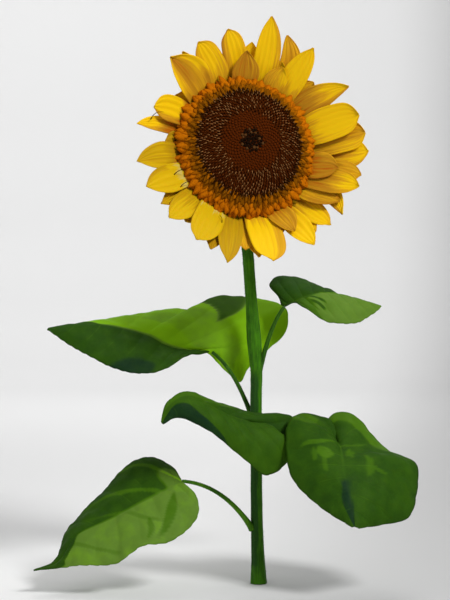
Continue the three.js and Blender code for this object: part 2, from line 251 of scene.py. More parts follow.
def scattered(one, places, tints=None):
    """A bmesh with a copy of a small one at each place. A copy's tint moves its material number
    on by that many times the number of materials that one copy wears."""
    one.verts.index_update()
    points = np.array([v.co for v in one.verts])
    faces = [[v.index for v in f.verts] for f in one.faces]
    wears = [f.material_index for f in one.faces]
    one.free()
    moves = np.array([[list(row) for row in place] for place in places])
    moved = np.einsum("kij,nj->kni", moves[:, :3, :3], points) + moves[:, None, :3, 3]
    mesh = bpy.data.meshes.new("copies")
    step = len(points)
    mesh.from_pydata(moved.reshape(-1, 3).tolist(), [],
                     [[i + k * step for i in face] for k in range(len(places)) for face in faces])
    tints = tints or [0] * len(places)
    kinds = max(wears) + 1
    numbers = [wear + kinds * tint for tint in tints for wear in wears]
    mesh.polygons.foreach_set("material_index", numbers)
    bm = bmesh.new()
    bm.from_mesh(mesh)
    bpy.data.meshes.remove(mesh)
    return bm


along_x = Vector((1, 0, 0))
stem = limb(stem_line, ribbed_stem_radius, along_x, 54, 260)
bmesh.ops.bisect_plane(stem, geom=stem.verts[:] + stem.edges[:] + stem.faces[:], plane_co=(0, 0, 0),
                       plane_no=(0, 0, 1), clear_inner=True)
bmesh.ops.holes_fill(stem, edges=stem.edges, sides=0)
bmesh.ops.recalc_face_normals(stem, faces=stem.faces)
# A ragged strip of painted shade runs up the lower stem, on its left side, away from the key lamp.
shade = stem.verts.layers.float.new("shade")
for vert in stem.verts:
    ragged = 0.35 * noise.noise(Vector((0, vert.co.y * 60, vert.co.z * 60)))
    beside = smoothstep(0.3, 0.05, (vert.co.x + 0.002) / stem_radius + ragged)
    between = smoothstep(0.016, 0.022, vert.co.z + 0.01 * ragged) * smoothstep(0.236, 0.222, vert.co.z)
    vert[shade] = beside * between
new_piece("ribbed_stem", stem, [stem_skin], ["stem"])
hair_skin = stem_material("stem hairs, pale and stiff", "#6a9634", "#547e24", 0.0)
stem_hair_count, stem_hair_length = 2600, 0.0016
stem_hairs = hairs(stem_line, ribbed_stem_radius, along_x, stem_hair_count, stem_hair_length, 1)
new_piece("stem_hairs", stem_hairs, [hair_skin])


# ---- Leaves ------------
# Five heart-shaped leaves on channelled stalks. A blade is thin and puckered between its veins,
# deep green and matt above, paler below, and its edge is cut in small teeth.

def metres(points):
    return [Vector([c / 1000 for c in point]) for point in points]


def even_line(points):
    """The point a share of the way along the smooth line through the points, by its length."""
    fine = [curve_point(points, i / 300, 0.25) for i in range(301)]
    run = np.concatenate(([0], np.cumsum([(b - a).length for a, b in zip(fine, fine[1:])])))

    def at(share):
        along = min(max(share, 0), 1) * run[-1]
        i = int(np.clip(np.searchsorted(run, along), 1, 300))
        return fine[i - 1].lerp(fine[i], (along - run[i - 1]) / (run[i] - run[i - 1]))
    return at


rib_pace = 1.45
veins_a_side = 9
vein_bend = 0.045
blade_start, blade_end, blade_thickness = 0.004, 0.985, 0.0009
pucker_height, unevenness, edge_wave = 0.0012, 0.0012, 0.0012
groove_depth, groove_reach = 0.0006, 0.002
tooth_pitch, tooth_depth = 0.0085, 0.0011


def blade(leaf):
    """A leaf's mid-surface as a bmesh. Its UV map holds how far across and along a point is."""
    rib, right, left = (even_line(metres(leaf[line])) for line in ("rib", "right", "left"))
    size = (rib(1) - rib(0)).length

    def flat(u, v):
        return rib(v ** rib_pace).lerp((right if u > 0 else left)(v), abs(u))

    def normal(hand, v):
        ahead = flat(hand * 0.5, min(1, v + 0.04)) - flat(hand * 0.5, max(0, v - 0.04))
        aside = (flat(hand, v) - flat(hand * 0.5, v)) * hand
        return aside.cross(ahead).normalized()

    bm = bmesh.new()
    bm.loops.layers.uv.new("across and along")
    pigment_and_painted_light = bm.verts.layers.float.new("pigment_and_painted_light")
    sides = {}
    bmesh.ops.create_grid(bm, x_segments=48, y_segments=150, size=0.5, calc_uvs=True)
    for vert in bm.verts:
        u, v = round(vert.co.x * 2, 6), mix(blade_start, blade_end, vert.co.y + 0.5)
        inner = rib(v ** rib_pace)
        if v not in sides:
            sides[v] = normal(1, v), normal(-1, v), (inner - right(v)).length, (inner - left(v)).length
        right_up, left_up, right_width, left_width = sides[v]
        up = right_up if u > 0 else left_up if u < 0 else (right_up + left_up).normalized()
        width = right_width if u > 0 else left_width
        a = abs(u)
        swell = leaf["puff"][0 if u > 0 else 1] * 4 * a * (1 - a) * width
        # Side veins run from the midrib to the edge, bending to the tip. The blade bulges between.
        phase = veins_a_side * (v - vein_bend * a * a)
        bulge = abs(math.sin(math.pi * phase)) ** 0.7
        room = smoothstep(0, 0.08, a) * smoothstep(1, 0.8, a) * smoothstep(0, 0.012, width * 0.5)
        pucker = pucker_height * (bulge - 0.6) * room
        groove = -groove_depth * math.exp(-(a * width / groove_reach) ** 2)
        wave = edge_wave * a ** 3 * math.sin(math.tau * 3.5 * v + 2 * u) * smoothstep(0, 0.02, width)
        at = flat(u, v)
        fine = noise.noise(at * 90) * unevenness * smoothstep(0, 0.01, a * width)
        tooth = tooth_depth * (abs(((v * size / tooth_pitch) % 1) - 0.3) - 0.35) * smoothstep(0.82, 1, a)
        out = (at - inner).normalized() if a else Vector()
        vert.co = at + up * (swell + pucker + groove + wave + fine) - out * tooth
        # The leaf's own function paints light and shade on the blade, with a small wave in their borders.
        vert[pigment_and_painted_light] = leaf["pigment_and_painted_light"](u, v + 0.012 * math.sin(9 * u + 4 * v))
    bmesh.ops.recalc_face_normals(bm, faces=bm.faces)
    if sum(face.normal.z * face.calc_area() for face in bm.faces) < 0:
        bmesh.ops.reverse_faces(bm, faces=bm.faces)
    return bm


def leaf_material(name, greens, vein, vein_share):
    """Leaf skin: matt and faintly downy, in greens picked by painted light and shade, from the bluish dark
    of painted shade in hollows over mid green and pale to the fresh bright of painted light, with a net of
    veins."""
    material, tree, shader = new_material(
        name, IOR=1.4, Specular_IOR_Level=0.06, Subsurface_Weight=0.03, Subsurface_Scale=0.002)
    place = add(tree, "TexCoord", out="Object")
    across = add(tree, "UVMap", uv_map="across and along")
    u = add(tree, "SeparateXYZ", {0: across})
    v = u.node.outputs[1]
    # The attribute read here is painted light and shade, and it moves the green along the ramp.
    pigment_and_painted_light = add(tree, "Attribute", attribute_name="pigment_and_painted_light", out="Fac")
    # The green is clouded in patches 17 mm across.
    clouds = add(tree, "TexNoise", {"Vector": place, "Scale": 60, "Detail": 4}, out="Fac")
    shifted = add(tree, "Math", {0: clouds, 1: 0.22, 2: pigment_and_painted_light}, operation="MULTIPLY_ADD")
    level = add(tree, "Math", {0: shifted, 1: 0.11}, operation="SUBTRACT")
    stops = [(i / 4, linear(green)) for i, green in enumerate(greens)]
    green = add(tree, "ValToRGB", {0: level}, stops)
    # a is 0 on the midrib and 1 on the edge; phase is whole on each side vein.
    a = add(tree, "Math", {0: u, 1: 2, 2: -1}, operation="MULTIPLY_ADD")
    a = add(tree, "Math", {0: a}, operation="ABSOLUTE")
    bend = add(tree, "Math", {0: a, 1: a}, operation="MULTIPLY")
    phase = add(tree, "Math", {0: bend, 1: -vein_bend, 2: v}, operation="MULTIPLY_ADD")
    phase = add(tree, "Math", {0: phase, 1: veins_a_side}, operation="MULTIPLY")
    side = add(tree, "Math", {0: phase, 1: 0.5}, operation="PINGPONG")
    side_line = add(tree, "MapRange", {0: side, 1: 0.0, 2: 0.045, 3: 1, 4: 0})
    # A side vein is plainest where the cloud pattern is high, and dies out towards the edge.
    fade = add(tree, "MapRange", {0: a, 1: 0.35, 2: 0.95, 3: 1, 4: 0})
    plain = add(tree, "MapRange", {0: clouds, 1: 0.42, 2: 0.6})
    fade = add(tree, "Math", {0: fade, 1: plain}, operation="MULTIPLY")
    side_line = add(tree, "Math", {0: side_line, 1: fade}, operation="MULTIPLY")
    midrib = add(tree, "MapRange", {0: a, 1: 0.008, 2: 0.028, 3: 1, 4: 0})
    # The midrib is plain by the stalk and sinks into the blade further out.
    sinking = add(tree, "MapRange", {0: v, 1: 0.3, 2: 0.6, 3: 1, 4: 0.3})
    midrib = add(tree, "Math", {0: midrib, 1: sinking}, operation="MULTIPLY")
    veins = add(tree, "Math", {0: side_line, 1: midrib}, operation="MAXIMUM")
    # The net of small veins has meshes 4.5 mm wide.
    net = add(tree, "TexVoronoi", {"Vector": place, "Scale": 220}, feature="DISTANCE_TO_EDGE")
    net_line = add(tree, "MapRange", {0: net, 1: 0.0, 2: 0.1, 3: 0.2, 4: 0})
    veins_seen = add(tree, "Math", {0: veins, 1: net_line}, operation="MAXIMUM")
    share = add(tree, "Math", {0: veins_seen, 1: vein_share}, operation="MULTIPLY")
    colour = add(tree, "Mix", {0: share, 6: green, 7: linear(vein)}, data_type="RGBA", out=2)
    # The down is too fine to show, so it is drawn as a grain of 0.7 mm, with the veins sunk in it.
    grain = add(tree, "TexNoise", {"Vector": place, "Scale": 1400, "Detail": 2}, out="Fac")
    height = add(tree, "Math", {0: veins_seen, 1: -0.8, 2: grain}, operation="MULTIPLY_ADD")
    bump = add(tree, "Bump", {"Height": height, "Strength": 0.3, "Distance": 0.0005})
    rough = add(tree, "MapRange", {0: grain, 3: 0.5, 4: 0.68})
    connect(tree, shader, Base_Color=colour, Normal=bump, Roughness=rough)
    return material


leaf_top = leaf_material("leaf blade, upper side",
                         ("#142e18", "#254509", "#3f650a", "#587828", "#7cb20e"), "#5c8a20", 0.15)
leaf_under = leaf_material("leaf blade, underside",
                           ("#1c3a20", "#30521c", "#466c20", "#6d8b36", "#7a9c34"), "#7a9a44", 0.4)


def spot(u, v, middle, reach, slant=0.0):
    """1 within an oval of the blade round its middle (u, v), fading to 0 across its rim."""
    over = ((u - middle[0]) / reach[0], (v - middle[1] - slant * (u - middle[0])) / reach[1])
    return smoothstep(1.15, 0.85, math.hypot(*over))


def upper_left_tone(u, v):
    """Bright with painted light beyond the midrib, with a duller band of painted shade along it and a dark
    cap of painted shade, and dark with painted shade on the near side.
    """
    dark = 0.25 - 0.22 * spot(u, v, (-0.95, 0.5), (0.28, 0.11))
    middle = mix(0.7, 0.27, v / 0.3) if v < 0.3 else mix(0.27, 0.55, min(1, (v - 0.3) / 0.3))
    band = smoothstep(0.24, 0.16, abs(u - middle)) * smoothstep(0.72, 0.6, v)
    cap = smoothstep(-0.008, 0.008, 0.18 * (u - 0.5) - abs(v - 0.26 - 0.25 * u))
    bright = 1.06 - 0.15 * band - 0.66 * cap
    return mix(dark, bright, smoothstep(-0.03, 0.03, u - 0.5 * smoothstep(0.76, 0.93, v)))


def upper_right_tone(u, v):
    """Dark with painted shade about the stalk and on the far side, pale with painted light towards the tip,
    with dark strokes between.
    """
    dark = 0.22 + 0.2 * smoothstep(-0.2, 0.3, u) * smoothstep(0.12, 0.3, v)
    strokes = spot(u, v, (0.38, 0.41), (0.3, 0.06)) * smoothstep(-0.2, 0.2, math.sin(70 * (v - 0.25 * u)))
    pale = 0.7 - 0.42 * strokes
    start = mix(0.66, 0.36, smoothstep(-0.15, 0.15, u))
    return mix(dark, pale, smoothstep(-0.02, 0.02, v - start))


def middle_tone(u, v):
    """Deep green, darker with painted shade in the fold behind the stalk, and bluish dark with painted shade
    under the curled tip.
    """
    deep = 0.33 - 0.09 * smoothstep(-0.15, 0.05, u) * smoothstep(0.58, 0.48, v)
    deep += 0.1 * smoothstep(0.25, 0.4, u) * spot(u, v, (0.7, 0.72), (0.5, 0.2))
    edge = -0.2 - 4.8 * (0.79 - v) if v < 0.79 else -0.2 + 2 * (v - 0.79)
    return mix(deep, 0.02, smoothstep(0.03, -0.03, u - edge) * smoothstep(0.54, 0.62, v))


def lower_right_tone(u, v):
    """Deep green with painted light on the lobes and in strokes, and painted shade in a dark hollow by the
    lower midrib.
    """
    light = smoothstep(-0.6, -0.68, u) * smoothstep(0.46, 0.4, v)
    for share, middle, reach, slant in (
            (0.8, (0.82, 0.26), (0.22, 0.06), 0), (0.9, (0.3, 0.45), (0.15, 0.045), 0),
            (0.8, (0.42, 0.385), (0.3, 0.016), 0.26), (0.6, (0.49, 0.49), (0.05, 0.05), 0),
            (0.6, (0.31, 0.53), (0.045, 0.07), 0), (0.7, (-0.12, 0.44), (0.05, 0.06), 0),
            (0.6, (-0.3, 0.55), (0.045, 0.07), 0), (0.6, (-0.4, 0.56), (0.12, 0.014), -0.2),
            (0.5, (-0.2, 0.33), (0.3, 0.012), -0.1)):
        light = max(light, share * spot(u, v, middle, reach, slant))
    aside = abs(u - 0.03 - 0.08 * smoothstep(0.7, 0.8, v)) - 0.1 * smoothstep(0.68, 0.88, v)
    hollow = smoothstep(0.66, 0.7, v) * smoothstep(0.09, 0.04, aside)
    return 0.27 + 0.24 * light - 0.27 * hollow


def lower_left_tone(u, v):
    """Dark with painted shade beyond the midrib, with a lighter place by the stalk, and pale with painted
    light on the near side.
    """
    dark = 0.27 + 0.42 * spot(u, v, (0.2, 0.1), (0.45, 0.12))
    dark += 0.2 * smoothstep(0.8, 0.95, math.sin(24 * (v - 0.36 * abs(u)) + 1.4)) * smoothstep(0.75, 0.4, v)
    pale = 0.76 - 0.24 * spot(u, v, (-0.52, 0.285), (0.33, 0.038), -0.32)
    pale -= 0.2 * spot(u, v, (-0.65, 0.42), (0.22, 0.014), -0.13)
    strokes = smoothstep(0.93, 0.98, math.sin(19 * (v + 0.3 * abs(u)) + 4.2))
    pale -= 0.14 * strokes * spot(u, v, (-0.45, 0.62), (0.4, 0.28))
    return mix(pale, dark, smoothstep(-0.03, 0.03, u + 1.1 * smoothstep(0.74, 0.9, v)))


# A leaf's curves in millimetres: the stalk with its radii at stem and blade, then the midrib and the two
# edges as seen from above looking to the tip. Puff lifts the blade between midrib and edge by a share of
# that width. The last key paints light and shade on the skin, from 0, dark, to 1, bright. Two stalks have
# darker greens of their own.
stalk_greens, dark_stalk_greens = ("#4f8212", "#2c5a12"), ("#36640f", "#1f400b")
leaves = {
    "upper_left": {
        "stalk": [(-7, 6, 182), (-16, 14, 205), (-28, 10, 236), (-51, 22, 253)],
        "stalk_greens": dark_stalk_greens,
        "stalk_radius": (3.2, 1.9),
        "rib": [(-51, 26, 253), (-96, 15, 259), (-125, 0, 274), (-181, -20, 286), (-231, -35, 281)],
        "right": [(-48, 29, 251), (-33, 28.5, 235), (-21, 28, 219), (-9, 30, 237), (13, 34, 257),
                  (31, 39, 275), (31, 50, 303), (-36, 66, 316), (-56, 64, 311), (-67, 58, 299.5),
                  (-98, 54, 302), (-180, 4, 287), (-231, -35, 281)],
        "left": [(-55, 22, 253), (-78, 0, 249), (-113, -24, 233), (-139, -32, 233), (-182, -36, 250),
                 (-231, -35, 281)],
        "puff": (0.03, 0.1),
        "pigment_and_painted_light": upper_left_tone,
    },
    "upper_right": {
        "stalk": [(-1, 0, 226), (8, -2, 262), (14, 0, 285), (28, 0, 304)],
        "stalk_radius": (3.6, 2),
        "stalk_greens": dark_stalk_greens,
        "rib": [(28, 0, 304), (44, -2, 312), (65, 0, 319), (99, 8, 315), (138, 16, 305)],
        "right": [(31, -4, 306), (42, -12, 309), (53, -20, 300), (72, -24, 289), (99, -18, 285),
                  (125, 2, 295), (138, 16, 305)],
        "left": [(26, 4, 305), (21, 14, 317), (13, 22, 328), (24, 30, 339), (53, 34, 333), (92, 28, 315),
                 (138, 16, 305)],
        "puff": (0.1, 0.08),
        "pigment_and_painted_light": upper_right_tone,
    },
    "middle": {
        "stalk": [(0, -6, 158), (2, -20, 170), (4, -30, 176), (3, -45, 179)],
        "stalk_radius": (3, 2),
        "rib": [(3, -45, 179), (-26, -58, 187), (-58, -74, 203), (-84, -84, 207), (-104, -90, 181)],
        "right": [(7, -41, 177), (34, -33, 154), (36, -24, 183), (3, -21, 188), (-32, -36, 196),
                  (-76, -70, 215), (-98, -86, 204), (-104, -90, 181)],
        "left": [(2, -49, 175), (31, -50, 162), (31, -53, 142), (7, -60, 126), (-25, -72, 152),
                 (-58, -80, 177), (-86, -85, 189), (-104, -90, 181)],
        "puff": (0.05, 0.12),
        "pigment_and_painted_light": middle_tone,
    },
    "lower_right": {
        "stalk": [(0, -1, 148), (30, -10, 160), (50, -20, 165), (81, -40, 161)],
        "stalk_radius": (3.4, 2),
        "rib": [(81, -40, 161), (85, -62, 155), (86, -90, 135), (91, -110, 107), (95, -122, 79)],
        "right": [(80, -38, 164), (78, -29, 181), (62, -25, 187), (45, -29, 188), (30, -48, 180),
                  (28, -65, 147), (34, -78, 124), (60, -100, 99), (95, -122, 79)],
        "left": [(83, -35, 164), (76, -17, 182), (88, -12, 188), (104, -13, 185), (144, -22, 145),
                 (168, -36, 135), (164, -64, 100), (152, -80, 83), (127, -97, 80), (95, -122, 79)],
        "puff": (0.08, 0.08),
        "pigment_and_painted_light": lower_right_tone,
    },
    "lower_left": {
        "stalk": [(-7, -2, 60), (-25, -14, 90), (-50, -24, 113), (-83, -30, 116)],
        "stalk_radius": (3.6, 2),
        "rib": [(-83, -30, 116), (-127, -44, 95), (-158, -50, 79), (-195, -56, 61), (-213, -62, 35),
                (-242, -66, 26)],
        "right": [(-85, -27, 118), (-95, -10, 130), (-120, 4, 138), (-148, 6, 126), (-177, -10, 94),
                  (-208, -32, 63), (-216, -54, 36), (-242, -66, 26)],
        "left": [(-81, -33, 114), (-68, -42, 102), (-66, -54, 81), (-95, -72, 58), (-125, -78, 53),
                 (-153, -80, 36), (-193, -76, 33), (-242, -66, 26)],
        "puff": (0.08, 0.08),
        "pigment_and_painted_light": lower_left_tone,
    },
}

stalk_hair_count, stalk_hair_length = 220, 0.0012
channel_depth, foot_spread, spread_share = 0.16, 0.25, 0.06
for seed, (name, leaf) in enumerate(leaves.items(), 10):
    a, b, c, d = metres(leaf["stalk"])
    thick, thin = (radius / 1000 for radius in leaf["stalk_radius"])
    heading = (d - a).to_2d().to_3d().normalized()
    stalk_side = heading.cross(Vector((0, 0, 1)))

    def stalk_line(t):
        s = 1 - t
        return a * s ** 3 + b * (3 * s * s * t) + c * (3 * s * t * t) + d * t ** 3

    def stalk_radius(t, turn):
        # A shallow channel runs along the upper side, and the foot spreads on the stem.
        channel = channel_depth * math.exp(-((turn - math.pi / 2) / 0.5) ** 2) * smoothstep(0.05, 0.3, t)
        return mix(thick, thin, math.sqrt(t)) * (1 - channel + foot_spread * math.exp(-t / spread_share))

    stalk_skin = stem_material("leaf stalk skin, " + name.replace("_", " "),
                               *leaf.get("stalk_greens", stalk_greens), 0.01)
    stalk = limb(stalk_line, stalk_radius, stalk_side, 24, 70)
    new_piece("channelled_stalk_" + name, stalk, [stalk_skin], ["stalk_" + name])
    stalk_hairs = hairs(stalk_line, stalk_radius, stalk_side, stalk_hair_count, stalk_hair_length, seed)
    new_piece("stalk_hairs_" + name, stalk_hairs, [hair_skin])
    piece = new_piece("blade_" + name, blade(leaf), [leaf_top, leaf_under], ["leaf_" + name])
    wall = piece.modifiers.new("thickness", "SOLIDIFY")
    wall.thickness = blade_thickness
    wall.offset = 0
    wall.material_offset = 1


# ---- Receptacle and bracts ------------
# Behind the flower is a shallow green dish, its back rounded down to the stem, in rows of
# pointed leafy bracts with pale hairy edges.

def lathed(profile, sides):
    """A shape turned about Z from (radius, height) points. Its ends meet or lie on the axis."""
    bm = bmesh.new()
    verts = [bm.verts.new((r, 0, z)) for r, z in profile]
    edges = [bm.edges.new(pair) for pair in zip(verts, verts[1:])]
    bmesh.ops.spin(bm, geom=verts + edges, axis=(0, 0, 1), cent=(0, 0, 0), angle=math.tau,
                   steps=sides, use_merge=True)
    bmesh.ops.remove_doubles(bm, verts=bm.verts, dist=1e-6)
    bmesh.ops.recalc_face_normals(bm, faces=bm.faces)
    return bm


def set_on_head(bm):
    """Moves a bmesh from the head's own frame to its place."""
    place = head_frame @ Matrix.Diagonal((1, head_oval, 1, 1))
    bmesh.ops.transform(bm, matrix=place, verts=bm.verts)
    return bm


dish_profile = [
    (0, 0), (0.0645, 0), (0.066, -0.0015), (0.0662, -0.009), (0.066, -0.017), (0.0635, -0.0195),
    (0.06, -0.021), (0.052, -0.0243), (0.044, -0.027), (0.034, -0.0293), (0.024, -0.031),
    (0.0165, -0.0322), (0.011, -0.033), (0, -0.033),
]
dish = set_on_head(lathed(dish_profile, 96))
bract_skin = stem_material("bract, green with a pale down", "#4c7a1c", "#284e12", 0.06)
new_piece("green_dish", dish, [bract_skin], ["receptacle"])

bract_thickness = 0.0007
bract_rows = [
    {"count": 21, "start": 6, "root": (0.054, -0.0205), "reach": (0.088, -0.014), "half": 0.0105},
    {"count": 21, "start": 14, "root": (0.047, -0.0235), "reach": (0.086, -0.025), "half": 0.01},
    {"count": 13, "start": 3, "root": (0.034, -0.0285), "reach": (0.064, -0.0335), "half": 0.0095},
]


def strip(across, along):
    bm = bmesh.new()
    bm.loops.layers.uv.new("across and along")
    bmesh.ops.create_grid(bm, x_segments=across, y_segments=along, size=0.5, calc_uvs=True)
    return bm


def thickened(bm, thickness):
    """Gives an open sheet a back a thickness behind it and closes its edges."""
    bm.normal_update()
    back = bmesh.ops.extrude_face_region(bm, geom=bm.faces[:], use_keep_orig=True)["geom"]
    for vert in back:
        if isinstance(vert, bmesh.types.BMVert):
            vert.co -= vert.normal * thickness
    bmesh.ops.recalc_face_normals(bm, faces=bm.faces)


def bract(row, bearing, dice):
    bm = strip(6, 12)
    a = math.radians(bearing)
    reach = row["reach"][0] * dice.uniform(0.94, 1.0)
    curl = dice.uniform(-0.003, 0.001)
    lean = dice.uniform(-0.12, 0.12)
    for vert in bm.verts:
        u, t = vert.co.x * 2, vert.co.y + 0.5
        width = row["half"] * (1 - t ** 2) ** 0.8 * (0.8 + 0.35 * math.sin(math.pi * min(1, t * 1.6)))
        r = mix(row["root"][0], reach, t)
        keel = 0.0008 * (1 - abs(u)) * (1 - t)
        z = mix(row["root"][1], row["reach"][1], t ** 1.5) + curl * t ** 3 - 0.002 * abs(u) * (1 - t) + keel
        aside = u * width + lean * (r - row["root"][0])
        vert.co = (r * math.sin(a) + aside * math.cos(a), r * math.cos(a) - aside * math.sin(a), z)
    thickened(bm, bract_thickness)
    return bm


def joined(parts):
    """One bmesh of several."""
    whole = bpy.data.meshes.new("joined")
    bm = bmesh.new()
    bm.loops.layers.uv.new("across and along")
    bm.verts.layers.float.new("pigment_and_painted_light")
    for part in parts:
        part.to_mesh(whole)
        part.free()
        bm.from_mesh(whole)
        whole.clear_geometry()
    bpy.data.meshes.remove(whole)
    return bm


dice = random.Random(5)
bracts = joined([bract(row, row["start"] + 360 / row["count"] * i, dice)
                 for row in bract_rows for i in range(row["count"])])
new_piece("bracts", set_on_head(bracts), [bract_skin])


# ---- Petals ------------
# The ray florets are broad yellow straps set in rows round the disc, pleated lengthwise, gold
# at the root, cupped forward and drawn to a soft point that may turn aside.

petal_root = 0.0667
petal_thickness = 0.0005
nick_depth, curl_height, pleat_height = 0.0012, 0.0016, 0.0004
front_row, row_step = -0.0065, 0.0027
row_slope, slope_step = 36, 1.4
# The bearings of the lower left petals, which wear the darker lemon skin as painted shade.
painted_shade_from, painted_shade_to = 190, 272

dice = random.Random(7)


def petal(bearing, reach, half, row, bend=0, hook=0, cup=0.08, blunt=2.6, tones=(1, 1, 1), root=(0.4, 0.3)):
    """One petal: its bearing clockwise from the top in degrees, then in millimetres its reach from the
    head's axis and its half width, its row from the front, and how far, in millimetres, petal and tip turn
    aside. Then come how its edges lift and how blunt it is. Tones run from 0, orange, over gold to 1,
    bright, and pale above: at the left edge, middle and right edge, and at the root with the share of the
    length that it colours. They are partly the petal's own colour and partly painted shade and painted
    highlight."""
    reach, half, bend, hook = (size / 1000 for size in (reach, half, bend, hook))
    left, middle, right = tones
    root_tone, root_share = root
    a = math.radians(bearing)
    outward = Vector((math.sin(a), math.cos(a), 0))
    across = Vector((math.cos(a), -math.sin(a), 0))
    depth = front_row - row_step * row
    lift = (reach - petal_root) * math.tan(math.radians(row_slope - slope_step * row))
    foot = outward * petal_root + Vector((0, 0, depth))
    belly = outward * mix(petal_root, reach, 0.5) + Vector((0, 0, depth + 0.5 * lift))
    tip = outward * reach + across * bend + Vector((0, 0, depth + lift))
    pleats, shift, roll = dice.choice((2, 2.5, 3)), dice.uniform(-0.3, 0.3), dice.uniform(-1, 1)
    nick, lop = dice.uniform(0.3, 1), dice.uniform(-0.12, 0.12)
    bm = strip(18, 42)
    pigment_and_painted_light = bm.verts.layers.float.new("pigment_and_painted_light")
    for vert in bm.verts:
        u, p = vert.co.x * 2, vert.co.y + 0.5
        t = 1 - (1 - p) ** 1.35
        w = math.sin(math.pi * t / 0.8)
        width = half * (mix(0.8, 1, w) if t < 0.4 else 1 - 0.95 * ((t - 0.4) / 0.6) ** blunt)
        width *= 1 + lop * u * math.sin(math.pi * t) + 0.05 * nick * math.sin(11 * t + 3 * u + 5 * shift) * t
        at = foot * (1 - t) ** 2 + belly * (2 * t * (1 - t)) + tip * t * t
        ahead = ((belly - foot) * (1 - t) + (tip - belly) * t).normalized()
        aside = (across - ahead * across.dot(ahead)).normalized()
        up = aside.cross(ahead)
        if up.z < 0:
            up.negate()
        # The tip is nicked between its pleats, and one side of the petal may roll over.
        nicked = nick_depth * nick * smoothstep(0.8, 1, t) * abs(math.sin(math.pi * (1.5 * u + shift)))
        rise = cup * half * u * u * math.sin(0.8 * math.pi * t)
        pleat = pleat_height * math.cos(math.pi * (pleats * 2 * u + shift)) * smoothstep(0, 0.3, t)
        curl = roll * curl_height * u * t ** 3 + 0.0006 * nick * math.sin(9 * t + 4 * u) * t * abs(u)
        turned = hook * max(0, 2 * t - 1) ** 2
        vert.co = at + aside * (u * width + turned) + up * (rise + pleat + curl) - ahead * nicked
        # Painted light in part: the left, middle and right values shade the petal or light its edges, while
        # the root's orange is its own colour.
        edge = left if u < 0 else right
        spread = mix(middle, edge, smoothstep(0, 1, abs(u)))
        uneven = 0.12 * math.sin(7 * u + 9 * shift)
        past_root = smoothstep(0.5 * root_share, 1.4 * root_share, t + uneven * root_share)
        vert[pigment_and_painted_light] = mix(root_tone, spread, past_root)
        vert[pigment_and_painted_light] *= smoothstep(0.04, 0.14, t + 0.3 * uneven)
    thickened(bm, petal_thickness)
    # The petals of the lower left wear the lemon skin, a darker copy of the yellows, as painted shade on the
    # side away from the key lamp.
    for face in bm.faces:
        face.material_index = int(painted_shade_from < bearing < painted_shade_to)
    return bm


def petal_material(name, yellows):
    """Petal skin: silky, in yellows from orange at the root over gold to bright, which run into each other
    in streaks along its length. The yellow is picked by an attribute that is partly the petal's own colour
    and partly painted shade and highlight."""
    material, tree, shader = new_material(
        name, IOR=1.4, Specular_IOR_Level=0.15, Sheen_Weight=0.02, Subsurface_Weight=0.08,
        Subsurface_Scale=0.002)
    place = add(tree, "TexCoord", out="Object")
    along = add(tree, "UVMap", uv_map="across and along")
    pigment_and_painted_light = add(tree, "Attribute", attribute_name="pigment_and_painted_light", out="Fac")
    # Streaks about 1.7 mm wide and half the petal long, each petal's its own.
    stretched = add(tree, "Mapping", {"Vector": along, "Scale": (16, 1.8, 1)})
    moved = add(tree, "VectorMath", {0: place, "Scale": 14}, operation="SCALE")
    seeded = add(tree, "VectorMath", {0: stretched, 1: moved}, operation="ADD")
    streaks = add(tree, "TexNoise", {"Vector": seeded, "Scale": 1, "Detail": 3}, out="Fac")
    level = add(tree, "Math", {0: streaks, 1: 0.9, 2: pigment_and_painted_light}, operation="MULTIPLY_ADD")
    level = add(tree, "Math", {0: level, 1: -0.45}, operation="ADD")
    level = add(tree, "Math", {0: level, 1: 0.75}, operation="MULTIPLY")
    # Each yellow holds over a stretch of the ramp and then runs quickly into the next.
    steps = ((0.02, 0), (0.14, 1), (0.2, 1), (0.34, 2), (0.4, 2), (0.56, 3), (0.64, 3), (0.88, 3), (1, 4))
    stops = [(at, linear(yellows[i])) for at, i in steps]
    yellow = add(tree, "ValToRGB", {0: level}, stops)
    # Fine ribs 0.5 mm wide run along it.
    fine = add(tree, "Mapping", {"Vector": along, "Scale": (60, 3, 1)})
    ribs = add(tree, "TexNoise", {"Vector": fine, "Scale": 1, "Detail": 2}, out="Fac")
    bump = add(tree, "Bump", {"Height": ribs, "Strength": 0.25, "Distance": 0.0003})
    rough = add(tree, "MapRange", {0: ribs, 3: 0.45, 4: 0.65})
    connect(tree, shader, Base_Color=yellow, Normal=bump, Roughness=rough)
    return material


